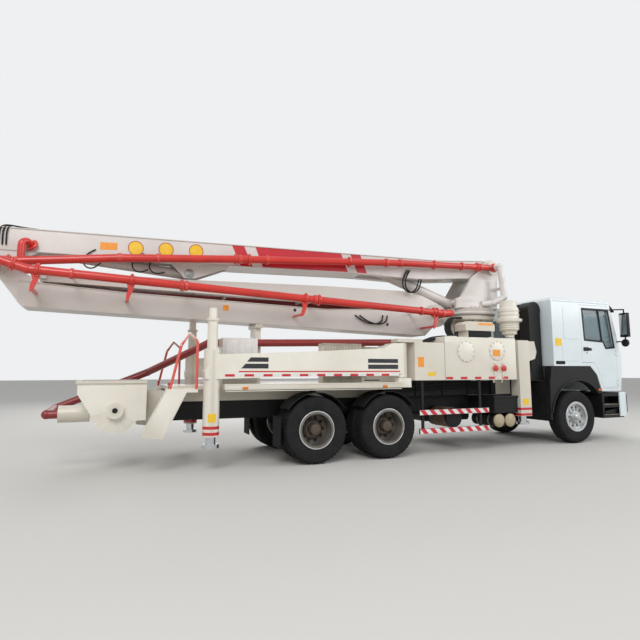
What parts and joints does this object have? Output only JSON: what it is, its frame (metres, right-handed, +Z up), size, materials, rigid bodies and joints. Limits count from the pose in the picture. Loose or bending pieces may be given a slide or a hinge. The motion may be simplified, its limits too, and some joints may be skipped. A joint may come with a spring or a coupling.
{
  "type": "truck-mounted concrete pump",
  "caption": "Three-axle cab-over truck with a folded placing boom on a slewing turret, swing-out and sliding outriggers, and a receiving hopper at the rear.",
  "frame": {"origin": "middle of the overall length and width, on the ground under the wheels", "axes": "+X forward to the cab, +Y to the left, +Z up"},
  "size_m": [12.4, 2.96, 3.9699],
  "materials": {
    "steel_dark": "satin black chassis paint",
    "cream": "gloss cream paint",
    "boom_white": "gloss warm white paint",
    "cab_white": "gloss cool white paint",
    "pipe_red": "gloss red paint",
    "machine_grey": "semi-gloss grey paint",
    "wheel_silver": "silver wheel paint",
    "tyre": "black rubber",
    "glass": "tinted glass",
    "black_plastic": "black moulded plastic",
    "rod_chrome": "hard chrome"
  },
  "bodies": {
    "chassis": {"frame_rails": "steel_dark", "deck": "cream", "axles": "steel_dark", "engine": "machine_grey", "side_equipment": "steel_dark", "guards": "wheel_silver", "pedestal": "cream", "front_bumper": "black_plastic", "hopper": "cream", "pump_unit": "machine_grey", "deck_pipe": "pipe_red", "rear_steps": "steel_dark", "precleaner": "cream"},
    "cab": {"cab_shell": "cab_white", "cab_glass": "glass", "cab_fittings": "black_plastic"},
    "turret": {"turret": "boom_white", "turret_pipe": "pipe_red"},
    "knuckle_left": {"knuckle_left": "steel_dark"},
    "front_wheel_left": {"tyre_front_left": "tyre", "wheel_front_left": "wheel_silver"},
    "mid_wheels_left": {"tyres_mid_left": "tyre", "wheels_mid_left": "wheel_silver"},
    "rear_wheels_left": {"tyres_rear_left": "tyre", "wheels_rear_left": "wheel_silver"},
    "knuckle_right": {"knuckle_right": "steel_dark"},
    "front_wheel_right": {"tyre_front_right": "tyre", "wheel_front_right": "wheel_silver"},
    "mid_wheels_right": {"tyres_mid_right": "tyre", "wheels_mid_right": "wheel_silver"},
    "rear_wheels_right": {"tyres_rear_right": "tyre", "wheels_rear_right": "wheel_silver"},
    "door_left": {"door_left": "cab_white", "door_glass_left": "glass"},
    "door_right": {"door_right": "cab_white", "door_glass_right": "glass"},
    "boom_1": {"boom_1": "boom_white", "pipe_1": "pipe_red"},
    "boom_2": {"boom_2": "boom_white", "pipe_2": "pipe_red"},
    "boom_3": {"boom_3": "boom_white", "pipe_3": "pipe_red"},
    "boom_4": {"boom_4": "boom_white", "pipe_4": "pipe_red"},
    "cylinder_1_barrel": {"cylinder_1_barrel": "boom_white"},
    "cylinder_1_rod": {"cylinder_1_rod": "rod_chrome"},
    "cylinder_2_barrel": {"cylinder_2_barrel": "boom_white"},
    "cylinder_2_rod": {"cylinder_2_rod": "rod_chrome"},
    "cylinder_3_barrel": {"cylinder_3_barrel": "boom_white"},
    "cylinder_3_rod": {"cylinder_3_rod": "rod_chrome"},
    "front_beam_left": {"front_beam_left": "cream"},
    "front_jack_left": {"front_jack_left": "rod_chrome"},
    "rear_arm_left": {"rear_arm_left": "cream"},
    "rear_jack_left": {"rear_jack_left": "rod_chrome"},
    "front_beam_right": {"front_beam_right": "cream"},
    "front_jack_right": {"front_jack_right": "rod_chrome"},
    "rear_arm_right": {"rear_arm_right": "cream"},
    "rear_jack_right": {"rear_jack_right": "rod_chrome"},
    "agitator": {"agitator": "machine_grey"},
    "hopper_grate": {"hopper_grate": "steel_dark"}
  },
  "joints": [
    {"name": "steering_left", "type": "hinge", "parent": "chassis", "child": "knuckle_left", "pos_m": [4.675, 0.791, 0.55], "axis": [0, 0, 1], "range_deg": [-35, 35]},
    {"name": "front_wheel_left_roll", "type": "hinge", "parent": "knuckle_left", "child": "front_wheel_left", "pos_m": [4.675, 1.011, 0.55], "axis": [0, 1, 0], "continuous": true},
    {"name": "mid_wheels_left_roll", "type": "hinge", "parent": "chassis", "child": "mid_wheels_left", "pos_m": [0.075, 0.915, 0.55], "axis": [0, 1, 0], "continuous": true},
    {"name": "rear_wheels_left_roll", "type": "hinge", "parent": "chassis", "child": "rear_wheels_left", "pos_m": [-1.275, 0.915, 0.55], "axis": [0, 1, 0], "continuous": true},
    {"name": "steering_right", "type": "hinge", "parent": "chassis", "child": "knuckle_right", "pos_m": [4.675, -0.791, 0.55], "axis": [0, 0, 1], "range_deg": [-35, 35]},
    {"name": "front_wheel_right_roll", "type": "hinge", "parent": "knuckle_right", "child": "front_wheel_right", "pos_m": [4.675, -1.011, 0.55], "axis": [0, 1, 0], "continuous": true},
    {"name": "mid_wheels_right_roll", "type": "hinge", "parent": "chassis", "child": "mid_wheels_right", "pos_m": [0.075, -0.915, 0.55], "axis": [0, 1, 0], "continuous": true},
    {"name": "rear_wheels_right_roll", "type": "hinge", "parent": "chassis", "child": "rear_wheels_right", "pos_m": [-1.275, -0.915, 0.55], "axis": [0, 1, 0], "continuous": true},
    {"name": "cab_tilt", "type": "hinge", "parent": "chassis", "child": "cab", "pos_m": [5.96, 0, 1.1], "axis": [0, 1, 0], "range_deg": [0, 50]},
    {"name": "door_left_hinge", "type": "hinge", "parent": "cab", "child": "door_left", "pos_m": [5.903, 1.22, 1.6], "axis": [0, 0, -1], "range_deg": [0, 75]},
    {"name": "door_right_hinge", "type": "hinge", "parent": "cab", "child": "door_right", "pos_m": [5.903, -1.22, 1.6], "axis": [0, 0, 1], "range_deg": [0, 75]},
    {"name": "turret_slew", "type": "hinge", "parent": "chassis", "child": "turret", "pos_m": [2.84, 0, 2.7], "axis": [0, 0, 1], "range_deg": [-185, 185]},
    {"name": "boom_1_raise", "type": "hinge", "parent": "turret", "child": "boom_1", "pos_m": [3.26, 0, 3.77], "axis": [0, 1, 0], "range_deg": [0, 90]},
    {"name": "boom_2_unfold", "type": "hinge", "parent": "boom_1", "child": "boom_2", "pos_m": [-6.05, 0, 3.12], "axis": [0, 1, 0], "range_deg": [0, 180]},
    {"name": "boom_3_unfold", "type": "hinge", "parent": "boom_2", "child": "boom_3", "pos_m": [1.85, 0, 2.67], "axis": [0, 1, 0], "range_deg": [0, 180]},
    {"name": "boom_4_unfold", "type": "hinge", "parent": "boom_3", "child": "boom_4", "pos_m": [-5.45, 0, 2.99], "axis": [0, -1, 0], "range_deg": [0, 180]},
    {"name": "cylinder_1_swing", "type": "hinge", "parent": "turret", "child": "cylinder_1_barrel", "pos_m": [2.36, 0, 2.97], "axis": [0, 1, 0], "range_deg": [-1, 85]},
    {"name": "cylinder_1_stroke", "type": "slide", "parent": "cylinder_1_barrel", "child": "cylinder_1_rod", "axis": [-0.9487, 0, 0.3162], "range_m": [0, 1.75]},
    {"name": "cylinder_2_swing", "type": "hinge", "parent": "boom_1", "child": "cylinder_2_barrel", "pos_m": [-3.24, 0, 3.2], "axis": [0, 1, 0], "range_deg": [-2, 1]},
    {"name": "cylinder_2_stroke", "type": "slide", "parent": "cylinder_2_barrel", "child": "cylinder_2_rod", "axis": [-0.996, 0, 0.0889], "range_m": [-0.65, 0.1]},
    {"name": "cylinder_3_swing", "type": "hinge", "parent": "boom_2", "child": "cylinder_3_barrel", "pos_m": [-0.05, 0, 2.48], "axis": [0, 1, 0], "range_deg": [-2, 1]},
    {"name": "cylinder_3_stroke", "type": "slide", "parent": "cylinder_3_barrel", "child": "cylinder_3_rod", "axis": [0.9998, 0, 0.0176], "range_m": [-0.5, 0.1]},
    {"name": "front_beam_left_slide", "type": "slide", "parent": "chassis", "child": "front_beam_left", "axis": [0, 1, 0], "range_m": [0, 1.5]},
    {"name": "front_jack_left_slide", "type": "slide", "parent": "front_beam_left", "child": "front_jack_left", "axis": [0, 0, -1], "range_m": [0, 0.6]},
    {"name": "rear_arm_left_swing", "type": "hinge", "parent": "chassis", "child": "rear_arm_left", "pos_m": [0.4, 1.105, 1.7], "axis": [0, 0, -1], "range_deg": [0, 95]},
    {"name": "rear_jack_left_slide", "type": "slide", "parent": "rear_arm_left", "child": "rear_jack_left", "axis": [0, 0, -1], "range_m": [0, 0.6]},
    {"name": "front_beam_right_slide", "type": "slide", "parent": "chassis", "child": "front_beam_right", "axis": [0, -1, 0], "range_m": [0, 1.5]},
    {"name": "front_jack_right_slide", "type": "slide", "parent": "front_beam_right", "child": "front_jack_right", "axis": [0, 0, -1], "range_m": [0, 0.6]},
    {"name": "rear_arm_right_swing", "type": "hinge", "parent": "chassis", "child": "rear_arm_right", "pos_m": [0.4, -1.105, 1.7], "axis": [0, 0, 1], "range_deg": [0, 95]},
    {"name": "rear_jack_right_slide", "type": "slide", "parent": "rear_arm_right", "child": "rear_jack_right", "axis": [0, 0, -1], "range_m": [0, 0.6]},
    {"name": "agitator_turn", "type": "hinge", "parent": "chassis", "child": "agitator", "pos_m": [-4.34, 0, 0.93], "axis": [0, 1, 0], "continuous": true},
    {"name": "hopper_grate_lid", "type": "hinge", "parent": "chassis", "child": "hopper_grate", "pos_m": [-3.942, 0, 1.33], "axis": [0, 1, 0], "range_deg": [0, 90]}
  ],
  "couplings": [
    {"joint": "steering_right", "follows": "steering_left", "ratio": 1},
    {"joint": "turret_slew", "follows": "boom_1_raise", "ratio": 1.3333},
    {"joint": "boom_2_unfold", "follows": "boom_1_raise", "ratio": 0.17},
    {"joint": "boom_3_unfold", "follows": "boom_1_raise", "ratio": 0.025},
    {"joint": "boom_4_unfold", "follows": "boom_1_raise", "ratio": 0.14},
    {"joint": "cylinder_1_swing", "follows": "boom_1_raise", "ratio": 0.92545},
    {"joint": "cylinder_1_stroke", "follows": "boom_1_raise", "m_per_rad": 1.0634},
    {"joint": "cylinder_2_swing", "follows": "boom_1_raise", "ratio": -0.008687},
    {"joint": "cylinder_2_stroke", "follows": "boom_1_raise", "m_per_rad": -0.053124},
    {"joint": "cylinder_3_swing", "follows": "boom_1_raise", "ratio": -0.003037},
    {"joint": "cylinder_3_stroke", "follows": "boom_1_raise", "m_per_rad": -0.003798}
  ]
}
